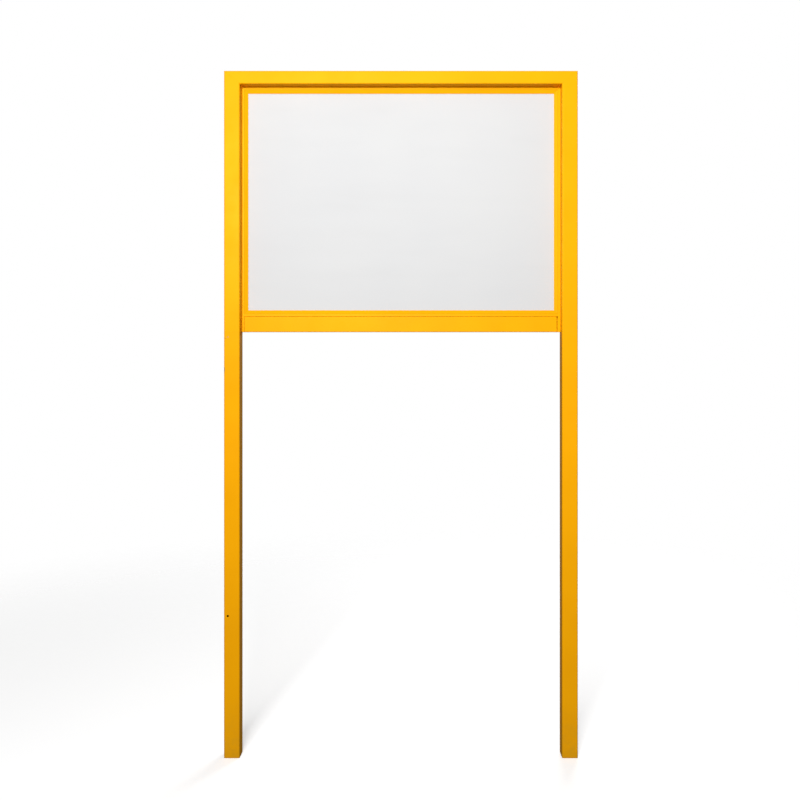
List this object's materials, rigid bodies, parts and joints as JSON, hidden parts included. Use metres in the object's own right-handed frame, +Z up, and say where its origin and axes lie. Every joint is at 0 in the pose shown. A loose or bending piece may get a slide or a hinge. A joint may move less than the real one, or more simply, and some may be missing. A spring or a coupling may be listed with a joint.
{
  "type": "two-post sign with a framed blank panel",
  "caption": "Yellow two-post sign: a steel portal on spliced square legs, with a recessed beaded frame that holds a blank landscape panel above a flat bottom rail.",
  "frame": {"origin": "on the ground, midway between the two posts and at the middle of their depth", "axes": "+Z up the posts, +X along the sign from the left post to the right as seen from the front, the sign faces -Y"},
  "size_m": [1.345, 0.06, 2.612],
  "materials": {
    "portal_yellow": "semi-gloss traffic-yellow powder coat with fine orange peel",
    "leg_yellow": "semi-gloss traffic-yellow powder coat, a shade duller, with dust and small chips low down",
    "frame_yellow": "semi-gloss traffic-yellow powder coat on the recessed channel",
    "rail_yellow": "semi-gloss traffic-yellow powder coat on the bottom rail",
    "bead_yellow": "semi-gloss traffic-yellow powder coat on the clip-in bead",
    "sign_face": "blank satin pale grey sheet",
    "backing": "mill-finish composite board",
    "gasket": "matt pale grey EPDM",
    "black_plastic": "moulded polyamide",
    "zinc_steel": "zinc-plated steel",
    "zinc_screw": "zinc-plated screw",
    "front_screw": "painted countersunk screw with rust showing in its recess"
  },
  "bodies": {
    "root": {"backing_board": "backing", "bottom_bead": "bead_yellow", "bottom_front_gasket": "gasket", "bottom_rail": "rail_yellow", "bottom_rear_gasket": "gasket", "front_splice_screw": "front_screw", "head_rail": "portal_yellow", "left_bead": "bead_yellow", "left_foot_cap": "leg_yellow", "left_front_gasket": "gasket", "left_head_post": "portal_yellow", "left_leg": "leg_yellow", "left_rail_plug": "black_plastic", "left_rear_gasket": "gasket", "left_setting_block": "black_plastic", "left_splice_spigot": "zinc_steel", "left_stile": "frame_yellow", "left_stile_screws": "zinc_screw", "rear_splice_screws": "zinc_screw", "right_bead": "bead_yellow", "right_foot_cap": "leg_yellow", "right_front_gasket": "gasket", "right_head_post": "portal_yellow", "right_leg": "leg_yellow", "right_rail_plug": "black_plastic", "right_rear_gasket": "gasket", "right_setting_block": "black_plastic", "right_splice_spigot": "zinc_steel", "right_stile": "frame_yellow", "right_stile_screws": "zinc_screw", "sign_face": "sign_face", "sill": "frame_yellow", "sill_left_cleat": "zinc_steel", "sill_right_cleat": "zinc_steel", "sill_screws": "zinc_screw", "top_bar": "frame_yellow", "top_bar_screws": "zinc_screw", "top_bead": "bead_yellow", "top_front_gasket": "gasket", "top_left_cleat": "zinc_steel", "top_rear_gasket": "gasket", "top_right_cleat": "zinc_steel"}
  },
  "joints": []
}
